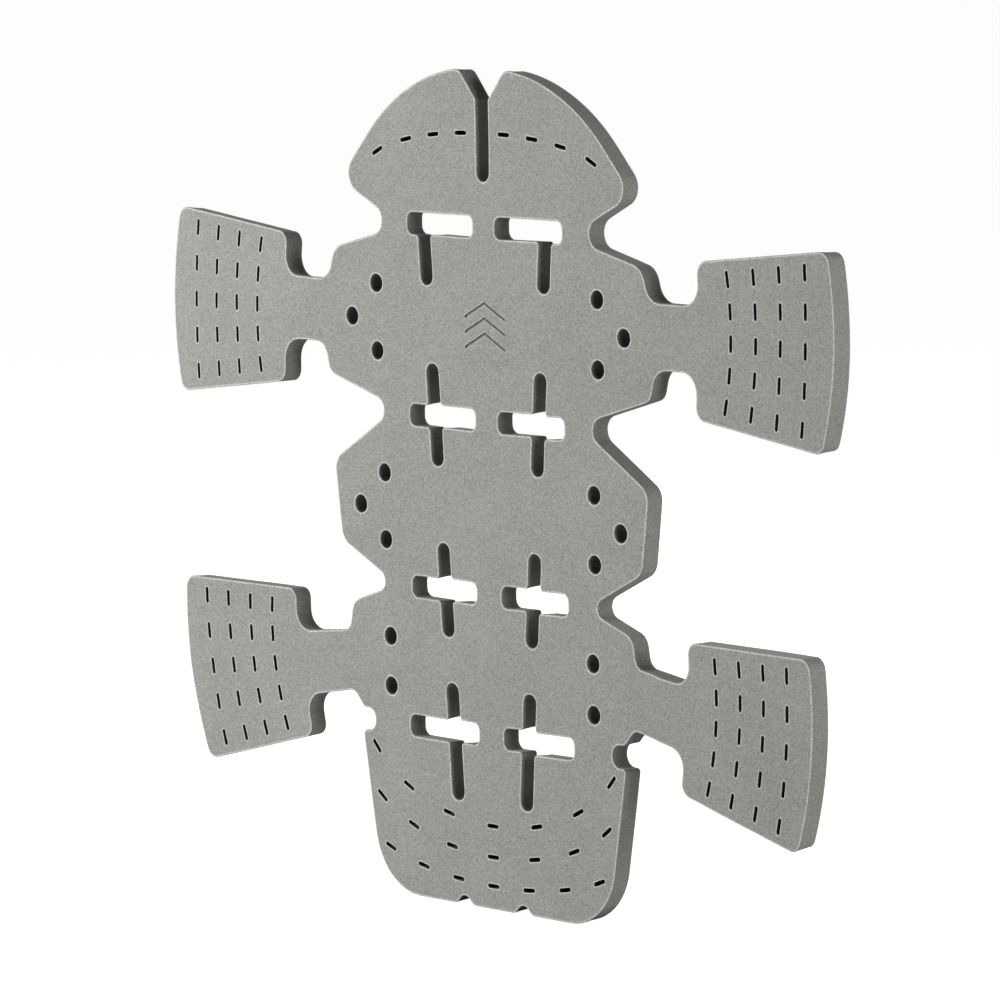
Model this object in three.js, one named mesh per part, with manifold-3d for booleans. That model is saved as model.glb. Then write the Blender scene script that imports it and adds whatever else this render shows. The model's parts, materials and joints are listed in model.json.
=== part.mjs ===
// Back protector: one flat sheet of closed-cell foam, cut through so that it bends with the wearer's back.
// Horizontal slots leave narrow webs between five rows of panels, inclined slits let the sides of every row
// fold forward, and four perforated wings wrap round the ribs and the waist on short necks.
//
// The sheet is drawn in its own plane and then divided where it bends: each flat panel is one body, and
// each web, neck and fold strip that flexes is one body.
//
// Millimetres. +X is across the back, +Z is towards the collar and -Y is the marked outer face.
// The sheet's profile is measured up from the lower inner vent holes of the midback row, and the
// finished part is lowered so that its origin is the centre of its bounding box.

import * as THREE from 'three';
import Module from 'manifold-3d';
import { mergeVertices } from 'three/addons/utils/BufferGeometryUtils.js';

const wasm = await Module();
wasm.setup();

// ---------------------------------------------------------------- driving dimensions

const THICKNESS = 10.7;
const CHORD_ERROR = 0.06;          // how far a chord may lie from its true arc
const FOAM_COLOUR = 0x9a9b94;

// Each slot row is the bending line between two rows of panels. A slit runs up from the slot to "slitTop"
// and down to "slitBottom"; the topmost slots have only the lower slit.
const SLOT_HEIGHT = 10.8;
const SLOT_CORNER = 3.8;
const SLOT_ROWS = [
  { name: 'collar_shoulder', level: 160.5, inner: 8.2, outer: 57.1, slitBottom: 130 },
  { name: 'shoulder_midback', level: 64.7, inner: 8.4, outer: 57.2, slitTop: 91, slitBottom: 40 },
  { name: 'midback_lumbar', level: -21.8, inner: 9.4, outer: 57.9, slitTop: 1.6, slitBottom: -45.3 },
  { name: 'lumbar_tailbone', level: -92.4, inner: 9.4, outer: 60.8, slitTop: -68.4, slitBottom: -126.9 },
];
const WEB_LENGTH = 8;              // free length of every web, inside the slot's height
const WEB_REACH = 110;             // half-width that holds every side web and no wing
const PANEL_REACH = 122;           // half-width that holds every side panel

// The slits of all rows lie on one line each side, which leans in towards the tail.
const FOLD_AT_DATUM = 34;
const FOLD_LEAN = 0.0695;          // sideways travel per unit of height
const SLIT_WIDTH = 9;
const SLIT_END = 4.4;              // radius at each corner of a slit's end, nearly half its width
const SLIT_MOUTH = 2;              // radius where a slit opens into its slot
const FOLD_WIDTH = 7;              // strip that flexes, a little narrower than the slit

const COLLAR_SLIT_BOTTOM = 183;
const TAIL_EDGE = -179.1;

const VENT_DIAMETER = 9;
const VENTS = [
  [81.7, 129.2], [100.6, 111.7], [81.7, 95.2],
  [77.8, 33.9], [96.6, 16.7], [77.8, 0],
  [75.4, -48.8], [75.4, -74],
];

// Short knife cuts that perforate the foam.
const CUT_LENGTH = 8;
const CUT_WIDTH = 1.6;
const COLLAR_CUTS = { level: 188.5, across: 86, rise: 18.4, at: [15.7, 36.5, 57.2, 79.1] };
const TAIL_CUTS = [
  { level: -76.3, across: 100, rise: -61, at: [0, 32.6, 63.2, 87.4] },
  { level: -104.3, across: 100, rise: -48.6, at: [0, 30.7, 59.8, 83.7] },
  { level: -137.9, across: 100, rise: -29.6, at: [0, 26.2, 52.7, 78.1] },
];
const WING_CUT_COLUMNS = 4;
const WING_CUT_ROWS = 5;

// A wing: where its neck bends, how many degrees it tips down, and the fan of cuts it carries.
// "near" and "far" are the columns nearest to and furthest from the back: x is where the column's arc is
// widest, top and bottom are the heights of its end cuts, and bow is the arc's radius.
const WINGS = [
  {
    name: 'shoulder_wing', panel: 'shoulder',
    neck: [137, 113.8], tilt: 0,
    near: { x: 176.4, top: 143.8, bottom: 82.8, bow: 150, widest: 120.5 },
    far: { x: 229.7, top: 150, bottom: 75.9, bow: 426, widest: 135 },
  },
  {
    name: 'waist_wing', panel: 'lumbar',
    neck: [122.5, -65.8], tilt: 7.2,
    near: { x: 167.1, top: -40.6, bottom: -101, bow: 155, widest: -46 },
    far: { x: 218.2, top: -40, bottom: -113.5, bow: 290, widest: -30 },
  },
];
const NECK_LENGTH = 16;
const WING_REACH = 160;            // further than any wing extends beyond its neck
const WING_TOP_MARGIN = 120;       // taller than any wing on either side of its neck

// Orientation mark pressed into the shoulder panel: three plain chevrons that point to the collar.
const MARK_COUNT = 3;
const MARK_PITCH = 7.5;
const MARK_TOP = 124;
const MARK_HALF_WIDTH = 15;
const MARK_DROP = 7.5;
const MARK_LINE = 1.6;
const MARK_CORNER = 0.5;
const MARK_DEPTH = 0.8;

// Right half of the outer profile, from the collar slit round to the middle of the tail.
// "at" is [x, z] and "round" the corner's radius; "bow" is the radius of the side that leaves the corner.
const CORNERS = [
  { at: [SLIT_WIDTH / 2, COLLAR_SLIT_BOTTOM], round: SLIT_WIDTH / 2 },
  { at: [SLIT_WIDTH / 2, 223.4], round: 2.2 },
  { at: [17, 238.3], round: 6.5, bow: 110 },
  { at: [86.5, 204.3], round: 0 },
  { at: [108.4, 180.6], round: 10 },
  { at: [63.3, 158.5], round: 7.3 },              // notch between collar and shoulder
  { at: [114.2, 146], round: 11 },
  { at: [118.9, 129.7], round: 10 },
  { at: [153.5, 129.7], round: 10.5 },            // shoulder wing
  { at: [152.2, 151.1], round: 7 },
  { at: [245.2, 160.6], round: 6.5, bow: 170.8 },
  { at: [239.3, 64.6], round: 6.5 },
  { at: [150.1, 75.5], round: 6.5 },
  { at: [151.2, 97.4], round: 10 },
  { at: [122.9, 97.4], round: 9 },
  { at: [118.9, 82.1], round: 7 },
  { at: [68, 67.4], round: 6.6 },                 // notch between shoulder and midback
  { at: [116.7, 38.1], round: 9.2 },
  { at: [111.4, -2.5], round: 10 },
  { at: [71.1, -22.3], round: 5 },                // notch between midback and lumbar
  { at: [104.2, -33.3], round: 9 },
  { at: [106.8, -48.2], round: 6 },
  { at: [147.3, -52.4], round: 9.5 },             // waist wing
  { at: [148, -30.7], round: 6 },
  { at: [234.4, -30.7], round: 6.5, bow: 199 },
  { at: [218.1, -126], round: 6.5 },
  { at: [136.8, -105.6], round: 6 },
  { at: [140.9, -85.2], round: 9 },
  { at: [104.5, -78.8], round: 6 },
  { at: [97, -87], round: 3 },
  { at: [88.4, -87.1], round: 5.4 },              // notch between lumbar and tailbone
  { at: [88.4, -98.1], round: 5.4 },
  { at: [98.1, -98.4], round: 2.5 },
  { at: [84.8, TAIL_EDGE], round: 34 },
  { at: [27.9, TAIL_EDGE], round: 5 },            // half-round notch on the fold line
  { at: [21.8, TAIL_EDGE + 6.4], round: 4.6 },
  { at: [15.7, TAIL_EDGE], round: 5 },
  { at: [0, TAIL_EDGE], round: 0 },
  { at: [0, COLLAR_SLIT_BOTTOM], round: 0 },
];

// Panel rows, each from the middle of one web to the middle of the next.
const ROWS = ['collar', 'shoulder', 'midback', 'lumbar', 'tailbone'];
const BEYOND = 300;                // clear of the sheet on every side
const STRAIGHT = 1e-4;             // a turn, in radians, too slight to need rounding

// ---------------------------------------------------------------- plane geometry

const vec = (x, y) => new THREE.Vector2(x, y);

function arcSteps(radius, sweep) {
  const step = 2 * Math.acos(1 - CHORD_ERROR / Math.max(radius, 4 * CHORD_ERROR));
  return Math.max(2, Math.ceil(Math.abs(sweep) / step));
}

function arcPoints(centre, radius, from, sweep) {
  const count = arcSteps(radius, sweep);
  return Array.from({ length: count + 1 }, (_, i) => {
    const angle = from + (sweep * i) / count;
    return vec(centre.x + radius * Math.cos(angle), centre.y + radius * Math.sin(angle));
  });
}

// The side between two corners: both ends, or an arc between them that bulges to the left of its chord
// when the sheet is walked clockwise.
function side(from, to, bow) {
  if (!bow) {
    return [from, to];
  }
  const half = to.clone().sub(from).multiplyScalar(0.5);
  const middle = from.clone().add(half);
  const inward = vec(half.y, -half.x).normalize();
  const reach = Math.sqrt(bow * bow - half.lengthSq());
  const centre = middle.addScaledVector(inward, reach);
  const start = Math.atan2(from.y - centre.y, from.x - centre.x);
  const end = Math.atan2(to.y - centre.y, to.x - centre.x);
  return arcPoints(centre, bow, start, end - start);
}

// A corner rounded by an arc that is tangent to the lines through it.
function roundCorner(before, corner, after, radius) {
  const back = before.clone().sub(corner).normalize();
  const ahead = after.clone().sub(corner).normalize();
  const half = Math.acos(THREE.MathUtils.clamp(back.dot(ahead), -1, 1)) / 2;
  if (radius <= 0 || half > Math.PI / 2 - STRAIGHT) {
    return [corner.clone()];
  }
  const tangent = radius / Math.tan(half);
  const first = corner.clone().addScaledVector(back, tangent);
  const last = corner.clone().addScaledVector(ahead, tangent);
  const bisector = back.add(ahead).normalize();
  const centre = corner.clone().addScaledVector(bisector, radius / Math.sin(half));
  const start = Math.atan2(first.y - centre.y, first.x - centre.x);
  let sweep = Math.atan2(last.y - centre.y, last.x - centre.x) - start;
  sweep = THREE.MathUtils.euclideanModulo(sweep + Math.PI, 2 * Math.PI) - Math.PI;
  return arcPoints(centre, radius, start, sweep);
}

// The first point along a side that is clear of a rounded corner at its start.
const clearOf = (corner, points, round) => (
  points.find((point) => point.distanceTo(corner) > round) ?? points[points.length - 1]
);

// Closed outline through rounded corners.
function outline(corners) {
  const count = corners.length;
  const places = corners.map((corner) => vec(...corner.at));
  const sides = corners.map((corner, i) => side(places[i], places[(i + 1) % count], corner.bow));
  const rounds = corners.map(({ round }, i) => {
    const arriving = sides[(i + count - 1) % count].toReversed();
    const before = clearOf(places[i], arriving, round);
    const after = clearOf(places[i], sides[i], round);
    return roundCorner(before, places[i], after, round);
  });
  return rounds.flatMap((round, i) => {
    const next = (i + 1) % count;
    const used = round[round.length - 1].distanceTo(places[i]) + CHORD_ERROR;
    const ahead = rounds[next][0].distanceTo(places[next]) + CHORD_ERROR;
    const between = sides[i].slice(1, -1).filter((point) => (
      point.distanceTo(places[i]) > used && point.distanceTo(places[next]) > ahead
    ));
    return [...round, ...between];
  });
}

function mirrored(points) {
  return points.map((point) => vec(-point.x, point.y)).reverse();
}

function circle(centre, radius) {
  return arcPoints(centre, radius, 0, 2 * Math.PI).slice(0, -1);
}

// Straight cut with round ends between two points.
function capsule(from, to, width) {
  const along = to.clone().sub(from).angle();
  const radius = width / 2;
  return [
    ...arcPoints(to, radius, along - Math.PI / 2, Math.PI),
    ...arcPoints(from, radius, along + Math.PI / 2, Math.PI),
  ];
}

function knifeCut(centre, direction) {
  const reach = vec(Math.cos(direction), Math.sin(direction)).multiplyScalar((CUT_LENGTH - CUT_WIDTH) / 2);
  return capsule(centre.clone().sub(reach), centre.clone().add(reach), CUT_WIDTH);
}

// ---------------------------------------------------------------- solids

// Raises a profile drawn in (x, z) to a slab between two depths.
function slab(points, front = -THICKNESS / 2, back = THICKNESS / 2) {
  const shape = new THREE.Shape(points);
  const geometry = new THREE.ExtrudeGeometry(shape, { depth: back - front, bevelEnabled: false });
  const upright = new THREE.Matrix4().set(1, 0, 0, 0, 0, 0, -1, back, 0, 1, 0, 0, 0, 0, 0, 1);
  return solid(geometry.applyMatrix4(upright));
}

function solid(geometry) {
  geometry.deleteAttribute('normal');
  geometry.deleteAttribute('uv');
  const merged = mergeVertices(geometry);
  return new wasm.Manifold(new wasm.Mesh({
    numProp: 3,
    vertProperties: new Float32Array(merged.attributes.position.array),
    triVerts: new Uint32Array(merged.index.array),
  }));
}

function toGeometry(manifold) {
  const mesh = manifold.getMesh();
  const geometry = new THREE.BufferGeometry();
  geometry.setAttribute('position', new THREE.BufferAttribute(new Float32Array(mesh.vertProperties), 3));
  geometry.setIndex(new THREE.BufferAttribute(new Uint32Array(mesh.triVerts), 1));
  geometry.computeVertexNormals();
  return geometry;
}

// A cutter that passes right through the sheet.
const cutter = (points) => slab(points, -THICKNESS, THICKNESS);

// ---------------------------------------------------------------- the cuts

const foldAt = (z) => FOLD_AT_DATUM + FOLD_LEAN * z;

// Corners of a slit from the slot's edge to its round end, walked anticlockwise round the slot.
function slitCorners(edge, end) {
  const along = vec(FOLD_LEAN, 1).normalize().multiplyScalar(Math.sign(end - edge));
  const across = vec(-along.y, along.x).multiplyScalar(SLIT_WIDTH / 2);
  const mouth = vec(foldAt(edge), edge);
  const tip = vec(foldAt(end), end);
  const corner = (place, hand, round) => (
    { at: place.clone().addScaledVector(across, hand).toArray(), round }
  );
  return [
    corner(mouth, -1, SLIT_MOUTH), corner(tip, -1, SLIT_END),
    corner(tip, 1, SLIT_END), corner(mouth, 1, SLIT_MOUTH),
  ];
}

function slotCutter({ level, inner, outer, slitTop, slitBottom }, handed) {
  const low = level - SLOT_HEIGHT / 2;
  const high = level + SLOT_HEIGHT / 2;
  const slotCorner = (...at) => ({ at, round: SLOT_CORNER });
  const points = outline([
    slotCorner(inner, low), ...slitCorners(low, slitBottom), slotCorner(outer, low),
    slotCorner(outer, high), ...(slitTop ? slitCorners(high, slitTop) : []), slotCorner(inner, high),
  ]);
  return cutter(handed < 0 ? mirrored(points) : points);
}

// Cuts spaced along half an ellipse, each lying along it.
function ellipseCuts({ level, across, rise, at }) {
  return at.flatMap((x) => {
    const height = Math.sqrt(1 - (x / across) ** 2);
    const slope = Math.atan(-(rise * x) / (across * across * height));
    const right = cutter(knifeCut(vec(x, level + rise * height), slope));
    const left = cutter(knifeCut(vec(-x, level + rise * height), -slope));
    return x === 0 ? [right] : [right, left];
  });
}

// Cuts of one wing: columns that bow outwards, in rows that spread towards the wing's edge.
function wingCuts({ near, far }, handed) {
  const cuts = [];
  for (let column = 0; column < WING_CUT_COLUMNS; column += 1) {
    const out = column / (WING_CUT_COLUMNS - 1);
    const mix = (key) => THREE.MathUtils.lerp(near[key], far[key], out);
    for (let row = 0; row < WING_CUT_ROWS; row += 1) {
      const z = THREE.MathUtils.lerp(mix('top'), mix('bottom'), row / (WING_CUT_ROWS - 1));
      const rise = z - mix('widest');
      const x = mix('x') - (rise * rise) / (2 * mix('bow'));
      const lean = Math.atan(rise / mix('bow'));
      cuts.push(cutter(knifeCut(vec(handed * x, z), Math.PI / 2 + handed * lean)));
    }
  }
  return cuts;
}

function markCutter(index) {
  const peak = MARK_TOP - index * MARK_PITCH;
  const foot = peak - MARK_DROP;
  const upper = [[-MARK_HALF_WIDTH, foot], [0, peak], [MARK_HALF_WIDTH, foot]];
  const lower = upper.map(([x, z]) => [x, z - MARK_LINE]).reverse();
  const points = outline([...upper, ...lower].map((at) => ({ at, round: MARK_CORNER })));
  return slab(points, -THICKNESS, MARK_DEPTH - THICKNESS / 2);
}

function wholeSheet() {
  const half = outline(CORNERS).filter((point) => point.x > CHORD_ERROR);
  const profile = [vec(0, COLLAR_SLIT_BOTTOM), ...half, vec(0, TAIL_EDGE), ...mirrored(half)];
  const cuts = [];
  for (const handed of [-1, 1]) {
    cuts.push(...SLOT_ROWS.map((row) => slotCutter(row, handed)));
    cuts.push(...VENTS.map(([x, z]) => cutter(circle(vec(handed * x, z), VENT_DIAMETER / 2))));
    cuts.push(...WINGS.flatMap((wing) => wingCuts(wing, handed)));
  }
  cuts.push(...ellipseCuts(COLLAR_CUTS), ...TAIL_CUTS.flatMap(ellipseCuts));
  cuts.push(...Array.from({ length: MARK_COUNT }, (_, i) => markCutter(i)));
  return slab(profile).subtract(wasm.Manifold.union(cuts));
}

// ---------------------------------------------------------------- dividing the sheet

const sheet = wholeSheet();
const pieces = new Map();

function keep(name, cell) {
  pieces.set(name, sheet.intersect(cutter(cell)));
}

// Four-sided cell whose sides follow functions of height.
function cellBetween(left, right, low, high) {
  return [vec(left(low), low), vec(right(low), low), vec(right(high), high), vec(left(high), high)];
}

// Cell on one side of the body: mirrored for the left.
function handedCell(inner, outer, low, high, handed) {
  const points = cellBetween(inner, outer, low, high);
  return handed < 0 ? mirrored(points) : points;
}

const SIDES = [['left', -1], ['right', 1]];
const foldInner = (z) => foldAt(z) - FOLD_WIDTH / 2;
const foldOuter = (z) => foldAt(z) + FOLD_WIDTH / 2;

// The line across a wing's neck, a distance along it from the place where it bends.
function neckLine(wing, distance) {
  const tilt = THREE.MathUtils.degToRad(wing.tilt);
  const [x, z] = wing.neck;
  return (height) => x + distance / Math.cos(tilt) + (height - z) * Math.tan(tilt);
}

ROWS.forEach((row, index) => {
  const high = index === 0 ? BEYOND : SLOT_ROWS[index - 1].level - WEB_LENGTH / 2;
  const low = index === ROWS.length - 1 ? -BEYOND : SLOT_ROWS[index].level + WEB_LENGTH / 2;
  const wing = WINGS.find((candidate) => candidate.panel === row);
  const outer = wing ? neckLine(wing, -NECK_LENGTH / 2) : () => PANEL_REACH;
  keep(`${row}_center_panel`, cellBetween((z) => -foldInner(z), foldInner, low, high));
  for (const [sideName, handed] of SIDES) {
    keep(`${row}_${sideName}_fold`, handedCell(foldInner, foldOuter, low, high, handed));
    keep(`${row}_${sideName}_panel`, handedCell(foldOuter, outer, low, high, handed));
  }
});

for (const { name, level, inner, outer } of SLOT_ROWS) {
  const low = level - WEB_LENGTH / 2;
  const high = level + WEB_LENGTH / 2;
  const middle = (inner + outer) / 2;
  keep(`${name}_center_web`, cellBetween(() => -middle, () => middle, low, high));
  for (const [sideName, handed] of SIDES) {
    keep(`${name}_${sideName}_web`, handedCell(() => middle, () => WEB_REACH, low, high, handed));
  }
}

for (const wing of WINGS) {
  const near = neckLine(wing, -NECK_LENGTH / 2);
  const far = neckLine(wing, NECK_LENGTH / 2);
  const low = wing.neck[1] - WING_TOP_MARGIN;
  const high = wing.neck[1] + WING_TOP_MARGIN;
  for (const [sideName, handed] of SIDES) {
    keep(`${sideName}_${wing.name}_neck`, handedCell(near, far, low, high, handed));
    keep(`${sideName}_${wing.name}`, handedCell(far, (z) => far(z) + WING_REACH, low, high, handed));
  }
}

// ---------------------------------------------------------------- the part

const part = new THREE.Group();
for (const [name, piece] of pieces) {
  const material = new THREE.MeshStandardMaterial({ color: FOAM_COLOUR, roughness: 0.95, metalness: 0 });
  const mesh = new THREE.Mesh(toGeometry(piece), material);
  mesh.name = name;
  part.add(mesh);
}

const box = new THREE.Box3().setFromObject(part);
part.position.z = -(box.min.z + box.max.z) / 2;

export default part;
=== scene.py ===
"""Looks of a back protector: one sheet of grey closed-cell foam, cut into bending rows and wings.

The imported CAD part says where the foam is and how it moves. This script reads the sheet's outlines from the
CAD nodes, rebuilds the sheet as one fine mesh with softly rounded cut edges, parts that mesh again at the
CAD seams, and lets each piece ride on, or bend between, the bodies that its node belongs to.
Lengths are in metres.
"""

import json
import math

import bmesh
import bpy
import numpy as np
from mathutils import Matrix, Vector
from mathutils.bvhtree import BVHTree
from mathutils.geometry import delaunay_2d_cdt
from mathutils.kdtree import KDTree

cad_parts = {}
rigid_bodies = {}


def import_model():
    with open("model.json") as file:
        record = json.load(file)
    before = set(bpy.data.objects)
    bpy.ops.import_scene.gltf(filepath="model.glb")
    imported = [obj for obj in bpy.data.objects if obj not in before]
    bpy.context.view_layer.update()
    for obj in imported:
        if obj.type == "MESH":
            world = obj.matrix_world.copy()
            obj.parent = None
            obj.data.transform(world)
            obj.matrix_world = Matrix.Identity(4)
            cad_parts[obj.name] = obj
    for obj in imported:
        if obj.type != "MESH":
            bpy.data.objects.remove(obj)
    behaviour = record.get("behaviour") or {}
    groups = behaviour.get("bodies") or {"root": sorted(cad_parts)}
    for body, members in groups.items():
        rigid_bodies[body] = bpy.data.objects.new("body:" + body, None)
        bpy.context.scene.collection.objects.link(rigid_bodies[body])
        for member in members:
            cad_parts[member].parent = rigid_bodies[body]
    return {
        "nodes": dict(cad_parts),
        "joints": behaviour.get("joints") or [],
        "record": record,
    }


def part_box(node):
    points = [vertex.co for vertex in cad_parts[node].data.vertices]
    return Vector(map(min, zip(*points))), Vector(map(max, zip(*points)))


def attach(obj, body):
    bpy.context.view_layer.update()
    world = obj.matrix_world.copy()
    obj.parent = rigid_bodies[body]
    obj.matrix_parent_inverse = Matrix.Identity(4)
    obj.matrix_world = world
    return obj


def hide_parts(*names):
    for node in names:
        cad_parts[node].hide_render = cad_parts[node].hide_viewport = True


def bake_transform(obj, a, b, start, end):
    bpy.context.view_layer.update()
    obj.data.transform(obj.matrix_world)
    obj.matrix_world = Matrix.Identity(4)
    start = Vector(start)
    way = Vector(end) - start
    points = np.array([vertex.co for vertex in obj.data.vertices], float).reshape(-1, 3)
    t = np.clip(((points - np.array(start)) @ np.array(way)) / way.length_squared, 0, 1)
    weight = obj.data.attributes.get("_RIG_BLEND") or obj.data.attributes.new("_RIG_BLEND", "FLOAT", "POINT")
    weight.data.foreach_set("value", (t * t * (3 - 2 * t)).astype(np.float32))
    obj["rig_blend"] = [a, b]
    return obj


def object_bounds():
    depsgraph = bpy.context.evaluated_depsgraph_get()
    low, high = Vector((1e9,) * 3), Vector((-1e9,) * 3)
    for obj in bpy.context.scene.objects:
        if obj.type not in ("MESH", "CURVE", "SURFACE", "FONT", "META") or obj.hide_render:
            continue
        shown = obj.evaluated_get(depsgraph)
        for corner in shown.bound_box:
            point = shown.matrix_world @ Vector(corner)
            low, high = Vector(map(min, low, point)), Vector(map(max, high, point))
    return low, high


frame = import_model()
cad_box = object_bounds()
nodes = frame["nodes"]

# ------------------------------------------------------------------ sizes

MM = 0.001
FRONT = cad_box[0].y               # depth of the marked outer face
BACK = cad_box[1].y                # depth of the face towards the wearer
WELD = 0.01 * MM                   # two CAD points nearer than this are one
SAME_LINE = 0.1 * MM               # and two seams nearer than this are one

EDGE_ROUND = 0.5 * MM              # radius of a cut edge
EDGE_HIGHLIGHT_BAND = 0.6 * MM                # painted highlight: a paler band beside a cut edge, as if the edge caught the light
EDGE_STEPS = 3                     # facets in the rounded edge
WALL_STEPS = 4                     # facets across a cut wall
WALL_HOLLOW = 0.12 * MM            # how far a cut wall dishes in at mid thickness
WALL_DRAFT = 0.6 * MM              # how far a cut wall leans into the foam from front to back
KNIFE_ROUND = 0.2 * MM             # a knife cut has tighter edges than a shaped cut
KNIFE_OUTLINE = 22 * MM            # and is known by the length of its outline, which is less than this
KNIFE_SPREAD = 0.2 * MM            # how far each side of a knife cut has sprung open
MARK_ROUND = 0.22 * MM             # the pressed mark has tighter edges than a cut
# the pressed mark's band of painted highlight is narrower
MARK_HIGHLIGHT_BAND = 0.2 * MM
MARK_FLOOR_ROUND = 0.25 * MM

ARC_TURN = math.radians(9)         # most that an outline turns at one point
SIDE_STEP = 4 * MM                 # most that an outline runs straight between points
GRID_STEP = 4 * MM                 # spacing of the points inside the faces
GRID_CLEARANCE = 2 * MM            # between those points and an outline
BEND_STEP = 1 * MM                 # spacing of the cross-cuts where the foam bends
INSIDE_OUTLINES = 1                # Blender's triangulation keeps only what the outermost outlines enclose

# Gentle unevenness of a sheet of foam that lies free: three slow waves, as (height, wavelength across,
# wavelength up, phase).
WAVES = (
    (0.10 * MM, 0.110, 0.170, 0.4),
    (0.06 * MM, -0.063, 0.081, 1.9),
    (0.04 * MM, 0.047, -0.052, 3.1),
)

# How each wing hangs when nothing holds it: lift towards the wearer at its neck, then how much that grows
# per unit outwards and per unit upwards.
WING_SETS = {
    "left_shoulder_wing": (-1.7 * MM, 0.058, 0.061),
    "right_shoulder_wing": (0.8 * MM, -0.044, -0.011),
    "left_waist_wing": (-0.5 * MM, -0.024, -0.003),
    "right_waist_wing": (-1.9 * MM, -0.036, -0.068),
}
WING_SET_START = -15 * MM          # a wing leaves the sheet's plane this far before its neck's middle
WING_SET_FULL = 10 * MM            # and has its full set this far beyond it

SHARP_TURN = math.radians(40)      # a fold in the surface that shades as an edge


def smoothstep(t):
    t = np.clip(t, 0, 1)
    return t * t * (3 - 2 * t)


# ------------------------------------------------------------------ where the foam bends

bodies = frame["record"]["behaviour"]["bodies"]
body_of = {name: body for body, names in bodies.items() for name in names}


def body_middle(body):
    """Middle of the box round a body's CAD nodes."""
    corners = [corner for name in bodies[body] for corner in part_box(name)]
    low = Vector(min(c[i] for c in corners) for i in range(3))
    high = Vector(max(c[i] for c in corners) for i in range(3))
    return (low + high) / 2


class Bend:
    """A strip of foam that bends about one joint: where its line lies and how far it reaches each side.
    "across" points in the sheet from the parent's side of the line to the child's."""

    def __init__(self, joint):
        self.node = joint["deforming_nodes"][0]["node"]
        self.parent = joint["parent"]
        self.child = joint["child"]
        self.point = Vector(joint["pos_m"])
        self.along = Vector(joint["axis"]).normalized()
        self.across = self.along.cross(Vector((0, 1, 0)))
        if (body_middle(self.parent) - self.point) @ self.across > 0:
            self.across.negate()
        reach = [self.distance(v.co) for v in nodes[self.node].data.vertices]
        self.low = min(reach)
        self.high = max(reach)

    def distance(self, place):
        return (place - self.point) @ self.across

    def at(self, distance):
        return self.point + self.across * distance


bends = [Bend(joint) for joint in frame["joints"]]
bend_of = {bend.node: bend for bend in bends}


# ------------------------------------------------------------------ outlines of the sheet

def is_seam(edge):
    """Whether an edge of a CAD node was made by parting the sheet. Such edges aren't part of an outline."""
    for bend in bends:
        first, second = (bend.distance(vert.co) for vert in edge.verts)
        if abs(first - second) < WELD and min(abs(first - bend.low), abs(first - bend.high)) < WELD:
            return True
    return False


def face_outlines(depth):
    """Closed outlines of the foam at one depth, as arrays of (x, z). On the front face each has the foam
    on its left."""
    bm = bmesh.new()
    for node in nodes.values():
        bm.from_mesh(node.data)
    bmesh.ops.remove_doubles(bm, verts=bm.verts, dist=WELD)
    flat = [f for f in bm.faces if all(abs(v.co.y - depth) < WELD for v in f.verts)]
    is_flat = set(flat)                # only looked up: a set's order isn't the same in each run
    following = {}
    for face in flat:
        for corner in face.loops:
            if sum(f in is_flat for f in corner.edge.link_faces) == 1 and not is_seam(corner.edge):
                following[corner.vert] = corner.link_loop_next.vert
    outlines = []
    while following:
        start, vert = following.popitem()
        outline = [start]
        while vert is not start:
            outline.append(vert)
            vert = following.pop(vert)
        outlines.append(np.array([(v.co.x, v.co.z) for v in outline], float))
    bm.free()
    return outlines


def without_straight_points(outline):
    """The outline without the points that lie on a straight line between their neighbours."""
    before = np.roll(outline, 1, 0)
    span = np.roll(outline, -1, 0) - before
    step = outline - before
    aside = np.abs(span[:, 0] * step[:, 1] - span[:, 1] * step[:, 0]) / np.linalg.norm(span, axis=1)
    return outline[aside > WELD / 5]


def smoothed(outline):
    """The outline through the same points, with true curves between them and straight runs divided."""
    outline = without_straight_points(outline)
    ahead = np.roll(outline, -1, 0) - outline
    length = np.linalg.norm(ahead, axis=1)[:, None]
    # A point's direction is that of its two sides, the longer counting for more, so that straight runs
    # stay straight where they meet an arc.
    direction = ahead + np.roll(ahead, 1, 0)
    direction /= np.linalg.norm(direction, axis=1)[:, None]
    points = []
    for i in range(len(outline)):
        j = (i + 1) % len(outline)
        turn = math.acos(max(-1.0, min(1.0, direction[i] @ direction[j])))
        count = max(math.ceil(length[i, 0] / SIDE_STEP), math.ceil(turn / ARC_TURN), 1)
        t = (np.arange(count) / count)[:, None]
        points.append(
            (2 * t**3 - 3 * t**2 + 1) * outline[i]
            + (t**3 - 2 * t**2 + t) * direction[i] * length[i]
            + (3 * t**2 - 2 * t**3) * outline[j]
            + (t**3 - t**2) * direction[j] * length[i]
        )
    return np.concatenate(points)


def inset(outline, distance):
    """The outline moved into the foam by a distance, or out of it where that is negative."""
    ahead = np.roll(outline, -1, 0) - outline
    ahead /= np.linalg.norm(ahead, axis=1)[:, None]
    inward = np.stack([-ahead[:, 1], ahead[:, 0]], 1)
    before = np.roll(inward, 1, 0)
    mitre = (inward + before) / (1 + (inward * before).sum(1))[:, None]
    return outline + mitre * distance


# ------------------------------------------------------------------ the whole sheet as one fine mesh

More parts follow.
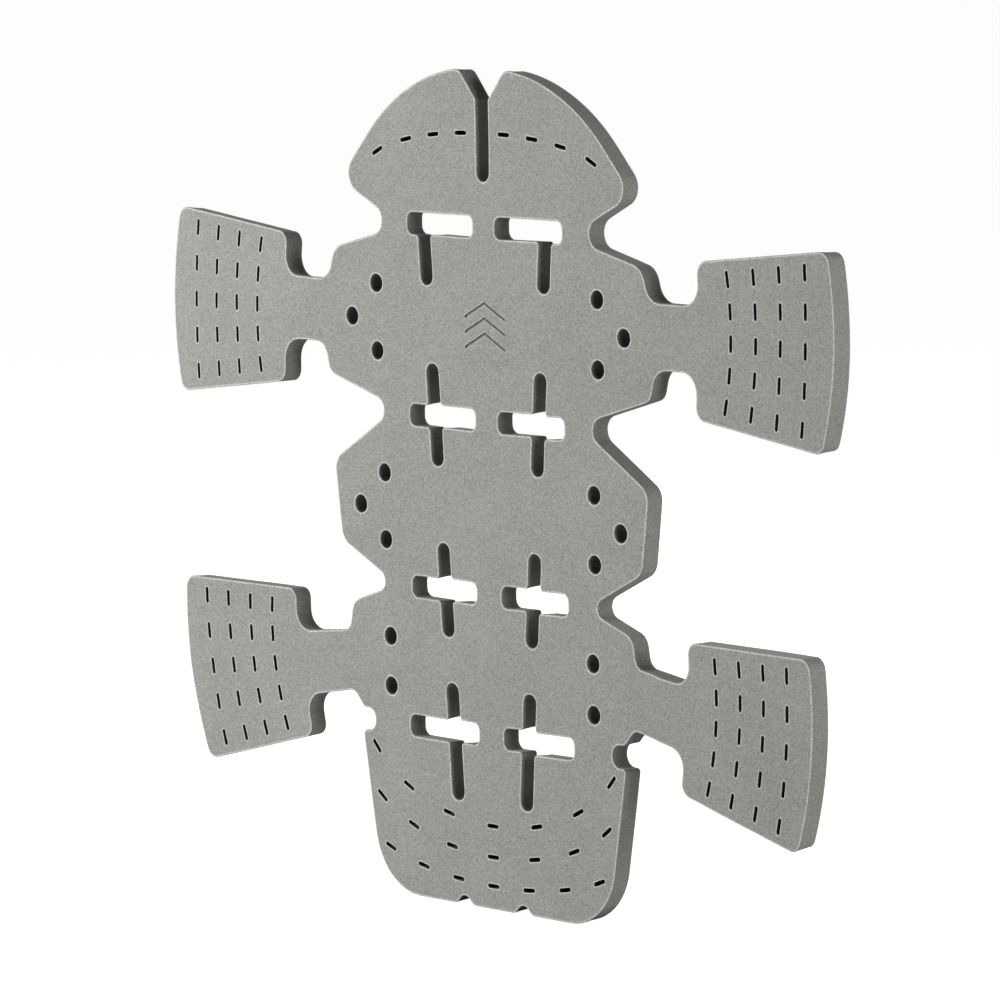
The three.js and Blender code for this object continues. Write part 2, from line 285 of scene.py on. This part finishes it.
class Sheet:
    """Vertices, faces and two vertex values: the rim value is 1 on a cut edge, where the colour gets a
    painted highlight; wall is 1 on a cut wall and 2 inside a knife cut, which gets painted shade."""

    def __init__(self):
        self.verts = []
        self.faces = []
        self.rim_highlight = []
        self.wall = []

    def add_ring(self, points, depth, rim_highlight, wall):
        first = len(self.verts)
        self.verts += [(x, depth, z) for x, z in points]
        self.rim_highlight += [rim_highlight] * len(points)
        self.wall += [wall] * len(points)
        return list(range(first, first + len(points)))

    def join(self, front_ring, back_ring):
        count = len(front_ring)
        for i in range(count):
            j = (i + 1) % count
            self.faces.append((front_ring[j], front_ring[i], back_ring[i], back_ring[j]))

    def sweep(self, outline, stations):
        """Rings of the outline at each (inset, depth, rim highlight, wall), joined one to the next."""
        rings = [self.add_ring(inset(outline, d), y, rim_highlight, wall) for d, y, rim_highlight, wall in stations]
        for front_ring, back_ring in zip(rings, rings[1:]):
            self.join(front_ring, back_ring)
        return rings


def edge_stations(face, into, radius, rim_highlight, wall=0.0):
    """Stations from a face, over its rounded edge and onto the wall, which is inset by "wall". "into" is +1
    if the foam's other face lies at a greater depth, and -1 if at a lesser one."""
    # The rim value paints a highlight: 1 where the face meets the rounded edge, fading to 0 across the band
    # on the face and down the rounding.
    stations = [(wall + radius + rim_highlight, face, 0, 0)]
    for step in range(EDGE_STEPS + 1):
        angle = math.pi / 2 * step / EDGE_STEPS
        away = wall + radius * (1 - math.sin(angle))
        down = radius * (1 - math.cos(angle))
        stations.append((away, face + into * down, 1 - step / EDGE_STEPS, step / EDGE_STEPS))
    return stations


def cut_stations(radius):
    """A cut right through the sheet, from the front face to the back."""
    front = edge_stations(FRONT, 1, radius, EDGE_HIGHLIGHT_BAND)
    back = edge_stations(BACK, -1, radius, EDGE_HIGHLIGHT_BAND, WALL_DRAFT)
    walls = []
    for step in range(1, WALL_STEPS):
        share = step / WALL_STEPS
        depth = FRONT + radius + share * (BACK - FRONT - 2 * radius)
        walls.append((WALL_DRAFT * share + WALL_HOLLOW * 4 * share * (1 - share), depth, 0, 1))
    return front + walls + back[::-1]


def knife_stations():
    """A knife cut, which is known to the material by its doubled wall value and is painted darker inside as
    shade.
    """
    return [(away, depth, rim_highlight, 2 * wall) for away, depth, rim_highlight, wall in cut_stations(KNIFE_ROUND)]


def mark_stations(floor):
    """A line of the pressed mark, from the front face down to its floor, which it meets in a small fillet."""
    stations = edge_stations(FRONT, 1, MARK_ROUND, MARK_HIGHLIGHT_BAND)
    for angle in (0, math.pi / 4, math.pi / 2):
        away = MARK_FLOOR_ROUND * (math.cos(angle) - 1)
        up = MARK_FLOOR_ROUND * (1 - math.sin(angle))
        stations.append((away, floor - up, 0, 1))
    return stations


def search_tree(names):
    """One search tree over several CAD nodes, and the node that each of its faces belongs to."""
    places, faces, owners = [], [], []
    for name in names:
        mesh = nodes[name].data
        first = len(places)
        places += [v.co.copy() for v in mesh.vertices]
        faces += [[first + v for v in face.vertices] for face in mesh.polygons]
        owners += [name] * len(mesh.polygons)
    return BVHTree.FromPolygons(places, faces), owners


def grid_points(rings, low, high):
    """A triangular grid of points that keeps clear of the rings."""
    near = KDTree(len(rings))
    for i, (x, z) in enumerate(rings):
        near.insert((x, 0, z), i)
    near.balance()
    points = []
    rise = GRID_STEP * math.sqrt(3) / 2
    for row in range(int((high.z - low.z) / rise) + 1):
        z = low.z + row * rise
        for column in range(int((high.x - low.x) / GRID_STEP) + 1):
            x = low.x + (column + row % 2 / 2) * GRID_STEP
            if near.find((x, 0, z))[2] > GRID_CLEARANCE:
                points.append((x, z))
    return points


def inside_an_odd_number(faces, lines):
    """Of triangles that fill the outermost outlines, those that lie inside an odd number of outlines.
    "lines" holds the outlines' edges."""
    sides = [[frozenset((face[k - 1], face[k])) for k in range(3)] for face in faces]
    touching = {}
    for i, edges in enumerate(sides):
        for edge in edges:
            touching.setdefault(edge, []).append(i)
    odd = {}
    waiting = [(around[0], True) for around in touching.values() if len(around) == 1]
    while waiting:
        i, is_odd = waiting.pop()
        if i not in odd:
            odd[i] = is_odd
            for edge in sides[i]:
                waiting += [(j, is_odd != (edge in lines)) for j in touching[edge] if j != i]
    return [face for i, face in enumerate(faces) if odd[i]]


def cap(sheet, rings, depth, facing):
    """Fills one face of the sheet between its rings."""
    fixed = [index for ring in rings for index in ring]
    flat = [(sheet.verts[index][0], sheet.verts[index][2]) for index in fixed]
    edges = []
    first = 0
    for ring in rings:
        edges += [(first + i, first + (i + 1) % len(ring)) for i in range(len(ring))]
        first += len(ring)
    inner = grid_points(flat, *cad_box)
    indices = fixed + sheet.add_ring(inner, depth, 0, 0)
    _, sides, faces, point_sources, edge_sources, _ = delaunay_2d_cdt(
        [Vector(p) for p in flat + inner], edges, [], INSIDE_OUTLINES, WELD / 1e4
    )
    lines = {frozenset(side) for side, source in zip(sides, edge_sources) if source}
    for face in inside_an_odd_number(faces, lines):
        around = [indices[point_sources[v][0]] for v in face]
        sheet.faces.append(tuple(around if facing < 0 else reversed(around)))


def whole_sheet():
    sheet = Sheet()
    back_points = np.concatenate(face_outlines(BACK))
    cuts = []
    marks = []
    for outline in face_outlines(FRONT):
        apart = np.linalg.norm(outline[:, None] - back_points, axis=2)
        (cuts if apart.min() < WELD else marks).append(smoothed(outline))
    levels = {v.co.y for node in nodes.values() for v in node.data.vertices}
    mark_floor = min(y for y in levels if FRONT + WELD < y)
    cut_rings = []
    for outline in cuts:
        is_knife = np.linalg.norm(outline - np.roll(outline, 1, 0), axis=1).sum() < KNIFE_OUTLINE
        if is_knife:
            rings = sheet.sweep(inset(outline, KNIFE_SPREAD), knife_stations())
        else:
            rings = sheet.sweep(outline, cut_stations(EDGE_ROUND))
        cut_rings.append(rings)
    mark_rings = [sheet.sweep(outline, mark_stations(mark_floor)) for outline in marks]
    cap(sheet, [rings[0] for rings in cut_rings + mark_rings], FRONT, -1)
    cap(sheet, [rings[-1] for rings in cut_rings], BACK, 1)
    cap(sheet, [rings[-1] for rings in mark_rings], mark_floor, -1)
    return sheet


# ------------------------------------------------------------------ parting the sheet at its seams

def cut_across(bm, point, normal):
    everything = bm.verts[:] + bm.edges[:] + bm.faces[:]
    bmesh.ops.bisect_plane(bm, geom=everything, dist=WELD / 100, plane_co=point, plane_no=normal)


def with_values(bm):
    """The mesh's two value layers, made if it has none."""
    layers = bm.verts.layers.float
    return [layers.get(name) or layers.new(name) for name in ("foam_painted_highlight", "foam_wall")]


def seamed(sheet):
    """The fine sheet as a bmesh that has an edge along every seam."""
    bm = bmesh.new()
    rim_highlight, wall = with_values(bm)
    verts = [bm.verts.new(place) for place in sheet.verts]
    for vert, highlight_value, wall_value in zip(verts, sheet.rim_highlight, sheet.wall):
        vert[rim_highlight] = highlight_value
        vert[wall] = wall_value
    for face in sheet.faces:
        bm.faces.new([verts[i] for i in face])
    seams = {}
    for bend in bends:
        for reach in (bend.low, bend.high):
            point = bend.at(reach)
            normal = bend.across * math.copysign(1, bend.across.x + bend.across.z)
            # Strips that end on one straight line share one seam.
            line = (round(normal.x, 3), round(normal.z, 3), round(point @ normal / SAME_LINE))
            seams[line] = (point, normal)
    for point, normal in seams.values():
        cut_across(bm, point, normal)
    return bm


def owners_of(bm):
    """The CAD node that each face of the seamed sheet belongs to."""
    middles = np.array([face.calc_center_median() for face in bm.faces])
    owners = [None] * len(middles)
    for bend in bends:
        low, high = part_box(bend.node)
        distance = (middles - bend.point) @ np.array(bend.across)
        inside = (distance > bend.low) & (distance < bend.high)
        for axis in (0, 2):
            inside &= (middles[:, axis] > low[axis] - WELD) & (middles[:, axis] < high[axis] + WELD)
        for i in np.flatnonzero(inside):
            owners[i] = bend.node
    tree, faces_of = search_tree([name for name in nodes if name not in bend_of])
    for i, owner in enumerate(owners):
        if owner is None:
            owners[i] = faces_of[tree.find_nearest(Vector(middles[i]))[2]]
    return owners


def closed_piece(source, faces, bend):
    """One piece of the sheet as its own closed body, cut finely across if it bends."""
    bm = bmesh.new()
    values = list(zip(with_values(bm), with_values(source)))
    copies = {}
    for face in faces:
        for vert in face.verts:
            if vert not in copies:
                copies[vert] = bm.verts.new(vert.co)
                for here, there in values:
                    copies[vert][here] = vert[there]
        bm.faces.new([copies[vert] for vert in face.verts])
    if bend:
        count = round((bend.high - bend.low) / BEND_STEP)
        for step in range(1, count):
            cut_across(bm, bend.at(bend.low + (bend.high - bend.low) * step / count), bend.across)
    seams = [edge for edge in bm.edges if edge.is_boundary]
    ends = bmesh.ops.holes_fill(bm, edges=seams, sides=0)["faces"]
    bmesh.ops.triangulate(bm, faces=ends)
    bmesh.ops.recalc_face_normals(bm, faces=bm.faces)
    return bm


# ------------------------------------------------------------------ the sheet's gentle unevenness

wing_bend_of = {}
for wing_bend in bends:
    if wing_bend.child in WING_SETS:
        for touched in (*bodies[wing_bend.child], *bodies[wing_bend.parent]):
            wing_bend_of[touched] = wing_bend


def lift(name, x, z):
    """How far the foam of a CAD node lies towards the wearer from its flat place."""
    total = sum(
        height * np.sin(2 * math.pi * (x / across + z / up) + phase) for height, across, up, phase in WAVES
    )
    bend = wing_bend_of.get(name)
    if bend:
        neck_lift, outwards, upwards = WING_SETS[bend.child]
        out = (x - bend.point.x) * bend.across.x + (z - bend.point.z) * bend.across.z
        up = z - bend.point.z
        share = smoothstep((out - WING_SET_START) / (WING_SET_FULL - WING_SET_START))
        total = total + share * (neck_lift + outwards * out + upwards * up)
    return total


def settle(mesh, name):
    """Keeps each vertex's flat place for the material, then lifts the mesh out of its plane. The foam's
    thickness stays square to its lifted face."""
    places = np.empty(len(mesh.vertices) * 3)
    mesh.vertices.foreach_get("co", places)
    kept = mesh.attributes.new("foam_place", "FLOAT_VECTOR", "POINT")
    kept.data.foreach_set("vector", places)
    x, y, z = places.reshape(-1, 3).T
    here = lift(name, x, z)
    lean_x = (lift(name, x + MM, z) - here) / MM
    lean_z = (lift(name, x, z + MM) - here) / MM
    settled = np.stack([x - y * lean_x, y + here, z - y * lean_z], 1)
    mesh.vertices.foreach_set("co", settled.ravel())


# ------------------------------------------------------------------ the foam's material

FACE_COLOUR = (0.352, 0.357, 0.328)
WALL_COLOUR = (0.300, 0.300, 0.270)
# The edge colour is a painted highlight: paler than the face, beside each cut edge.
EDGE_HIGHLIGHT_COLOUR = (0.640, 0.642, 0.604)
GRAIN = 0.7 * MM                   # size of the speckle on every surface
CELL = 0.55 * MM                   # size of the open cells on a cut wall
CELL_DEPTH = 0.12 * MM
BLOTCH = 9 * MM                    # sizes of the small and the large clouds in the colour
CLOUD = 45 * MM
GRAIN_SHADES = (0.58, 1.42)        # how far each darkens and lightens the colour
CELL_SHADES = (0.86, 1.06)
BLOTCH_SHADES = (0.985, 1.015)
CLOUD_SHADES = (0.965, 1.035)
CREVICE_SHADE_REACH = 12 * MM                  # painted shade: a cut narrower than this is painted darker inside
CREVICE_SHADE_POWER = 0.7                # how strongly the painted shade follows the narrowness
KNIFE_PAINTED_SHADE = 0.3                  # and a knife cut is painted darker again by this factor, as shade


class Nodes:
    """Short ways to add and link a material's shader nodes."""

    def __init__(self, material):
        material.use_nodes = True
        self.tree = material.node_tree
        self.tree.nodes.clear()

    def add(self, kind, inputs=(), **settings):
        node = self.tree.nodes.new("ShaderNode" + kind)
        for name, value in settings.items():
            setattr(node, name, value)
        for name, value in dict(inputs).items():
            if isinstance(value, bpy.types.NodeSocket):
                self.tree.links.new(value, node.inputs[name])
            else:
                node.inputs[name].default_value = value
        return node.outputs

    def attribute(self, name):
        return self.add("Attribute", attribute_name=name)

    def noise(self, place, size, detail=2.0, rough=0.5):
        """Noise whose features are about "size" across, from 0 to 1."""
        return self.add(
            "TexNoise", {"Vector": place, "Scale": 1 / size, "Detail": detail, "Roughness": rough}
        )["Fac"]

    def math(self, operation, a, b=0.0):
        return self.add("Math", {0: a, 1: b}, operation=operation)["Value"]

    def ranged(self, value, low, high, from_low=0.0, from_high=1.0):
        return self.add(
            "MapRange",
            {"Value": value, "From Min": from_low, "From Max": from_high, "To Min": low, "To Max": high},
        )["Result"]

    def where(self, share, value):
        """The value where share is 1, and 1 where it is 0."""
        return self.add("Mix", {0: share, 2: 1.0, 3: value})[0]

    def mix(self, share, a, b):
        """Colour a at share 0 and colour b at share 1."""
        node = self.tree.nodes.new("ShaderNodeMix")
        node.data_type = "RGBA"
        # A Mix node takes its two colours in sockets 6 and 7, and gives their mixture in output 2.
        for socket, value in zip((0, 6, 7), (share, a, b)):
            if isinstance(value, bpy.types.NodeSocket):
                self.tree.links.new(value, node.inputs[socket])
            else:
                node.inputs[socket].default_value = value if isinstance(value, float) else (*value, 1)
        return node.outputs[2]

    def scaled(self, colour, factor):
        return self.add("VectorMath", {0: colour, "Scale": factor}, operation="SCALE")["Vector"]


def foam_material():
    """Matt closed-cell foam: skinned faces with a fine grain, open cells on cut walls, a painted highlight on
    cut edges and painted shade inside narrow cuts and knife cuts.
    """
    material = bpy.data.materials.new("closed_cell_foam")
    n = Nodes(material)
    place = n.attribute("foam_place")["Vector"]
    wall = n.attribute("foam_wall")["Fac"]
    rim_highlight = n.attribute("foam_painted_highlight")["Fac"]

    grain = n.noise(place, GRAIN, rough=0.6)
    cells = n.add("TexVoronoi", {"Vector": place, "Scale": 1 / CELL})["Distance"]
    clouds = n.noise(place, CLOUD)
    blotches = n.noise(place, BLOTCH, detail=1.0)

    # Painted highlight: the face colour turns pale beside a cut edge.
    face = n.mix(n.ranged(rim_highlight, 0.0, 1.0, 0.05, 0.6), FACE_COLOUR, EDGE_HIGHLIGHT_COLOUR)
    colour = n.mix(wall, face, WALL_COLOUR)
    colour = n.scaled(colour, n.ranged(clouds, *CLOUD_SHADES, 0.3, 0.7))
    colour = n.scaled(colour, n.ranged(blotches, *BLOTCH_SHADES, 0.3, 0.7))
    colour = n.scaled(colour, n.ranged(grain, *GRAIN_SHADES, 0.25, 0.75))
    colour = n.scaled(colour, n.where(wall, n.ranged(cells, *CELL_SHADES)))
    # Painted shade: a cut wall is darkened as far as ambient occlusion finds it enclosed.
    openness = n.add("AmbientOcclusion", {"Distance": CREVICE_SHADE_REACH}, samples=8)["AO"]
    colour = n.scaled(colour, n.where(wall, n.math("POWER", openness, CREVICE_SHADE_POWER)))
    # Painted shade: a knife cut's walls, which have wall value 2, are darker again.
    colour = n.scaled(colour, n.ranged(wall, 1.0, KNIFE_PAINTED_SHADE, 1.0, 2.0))

    height = n.math("ADD", n.math("MULTIPLY", grain, 0.6), n.math("MULTIPLY", cells, wall))
    bump = n.add("Bump", {"Height": height, "Strength": 0.5, "Distance": CELL_DEPTH})["Normal"]
    surface = n.add(
        "BsdfPrincipled",
        {
            "Base Color": colour,
            "Roughness": n.ranged(grain, 0.82, 0.98),
            "Specular IOR Level": 0.22,
            "Sheen Weight": 0.12,
            "Sheen Roughness": 0.6,
            "Normal": bump,
        },
    )["BSDF"]
    n.add("OutputMaterial", {"Surface": surface})
    return material


# ------------------------------------------------------------------ the pieces

def make_pieces():
    foam = foam_material()
    source = seamed(whole_sheet())
    faces_of = {}
    for face, owner in zip(source.faces, owners_of(source)):
        faces_of.setdefault(owner, []).append(face)
    for name in nodes:
        bend = bend_of.get(name)
        bm = closed_piece(source, faces_of[name], bend)
        mesh = bpy.data.meshes.new(name + "_foam")
        bm.to_mesh(mesh)
        bm.free()
        settle(mesh, name)
        mesh.shade_smooth()
        mesh.set_sharp_from_angle(angle=SHARP_TURN)
        mesh.materials.append(foam)
        piece = bpy.data.objects.new(name + "_foam", mesh)
        bpy.context.scene.collection.objects.link(piece)
        if bend:
            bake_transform(piece, bend.parent, bend.child, start=bend.at(bend.low), end=bend.at(bend.high))
        else:
            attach(piece, body_of[name])
        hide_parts(name)
    source.free()


make_pieces()

# ------------------------------------------------------------------ floor, light and camera

CAMERA_AZIMUTH = math.radians(48.45)
CAMERA_ELEVATION = math.radians(6.58)
CAMERA_ROLL = math.radians(-0.91)
CAMERA_DISTANCE = 3.21
CAMERA_LENS = 233.9                # millimetres, on a sensor 36 mm wide
CAMERA_AIM = (0.0022, -0.0040)     # right and up from the middle of the part, as the camera sees it

FLOOR_RADIUS = 60
FLOOR_GAP = 0.2 * MM
FLOOR_SHADE = 0.55
FLOOR_GLOW = 0.95                  # keeps the floor white to the horizon, without lighting the part

# Soft square lamps: azimuth from straight ahead, positive to the right, and elevation, both in degrees,
# then distance and size in metres and power in watts.
LAMPS = {
    "key": (-38, 14, 1.9, 1.0, 33.4),
    "side": (85, 9, 1.8, 0.6, 16.5),
    "back": (-155, 12, 1.9, 1.0, 15),
}
WORLD_STRENGTH = 0.045


def floor_material():
    material = bpy.data.materials.new("pale_floor")
    n = Nodes(material)
    seen = n.add("LightPath")["Is Camera Ray"]
    surface = n.add(
        "BsdfPrincipled",
        {
            "Base Color": (FLOOR_SHADE, FLOOR_SHADE, FLOOR_SHADE, 1),
            "Roughness": 0.9,
            "Specular IOR Level": 0.1,
            "Emission Color": (1, 1, 1, 1),
            "Emission Strength": n.math("MULTIPLY", seen, FLOOR_GLOW),
        },
    )["BSDF"]
    n.add("OutputMaterial", {"Surface": surface})
    return material


def make_floor():
    bm = bmesh.new()
    bmesh.ops.create_circle(bm, cap_ends=True, segments=96, radius=FLOOR_RADIUS)
    mesh = bpy.data.meshes.new("studio_floor")
    bm.to_mesh(mesh)
    bm.free()
    mesh.materials.append(floor_material())
    floor = bpy.data.objects.new("studio_floor", mesh)
    floor.location.z = cad_box[0].z - FLOOR_GAP
    bpy.context.scene.collection.objects.link(floor)


def make_lamp(name, azimuth, elevation, distance, size, power):
    """A lamp that shines on the middle of the part."""
    data = bpy.data.lights.new(name, "AREA")
    data.shape = "SQUARE"
    data.size = size
    data.energy = power
    lamp = bpy.data.objects.new(name, data)
    turn = Matrix.Rotation(math.radians(azimuth), 4, "Z")
    tip = Matrix.Rotation(math.radians(90 - elevation), 4, "X")
    lamp.matrix_world = turn @ tip @ Matrix.Translation((0, 0, distance))
    bpy.context.scene.collection.objects.link(lamp)


def make_world():
    world = bpy.data.worlds.new("studio")
    bpy.context.scene.world = world
    world.use_nodes = True
    background = world.node_tree.nodes["Background"]
    background.inputs["Color"].default_value = (1, 1, 1, 1)
    background.inputs["Strength"].default_value = WORLD_STRENGTH


def make_camera():
    data = bpy.data.cameras.new("camera")
    data.lens = CAMERA_LENS
    data.clip_end = 2 * FLOOR_RADIUS
    camera = bpy.data.objects.new("camera", data)
    middle = (cad_box[0] + cad_box[1]) / 2
    camera.matrix_world = (
        Matrix.Translation(middle)
        @ Matrix.Rotation(CAMERA_AZIMUTH, 4, "Z")
        @ Matrix.Rotation(math.pi / 2 - CAMERA_ELEVATION, 4, "X")
        @ Matrix.Rotation(CAMERA_ROLL, 4, "Z")
        @ Matrix.Translation((*CAMERA_AIM, CAMERA_DISTANCE))
    )
    bpy.context.scene.collection.objects.link(camera)
    bpy.context.scene.camera = camera


make_floor()
make_world()
for lamp_name, lamp_settings in LAMPS.items():
    make_lamp(lamp_name, *lamp_settings)
make_camera()
bpy.context.scene.view_settings.view_transform = "Standard"
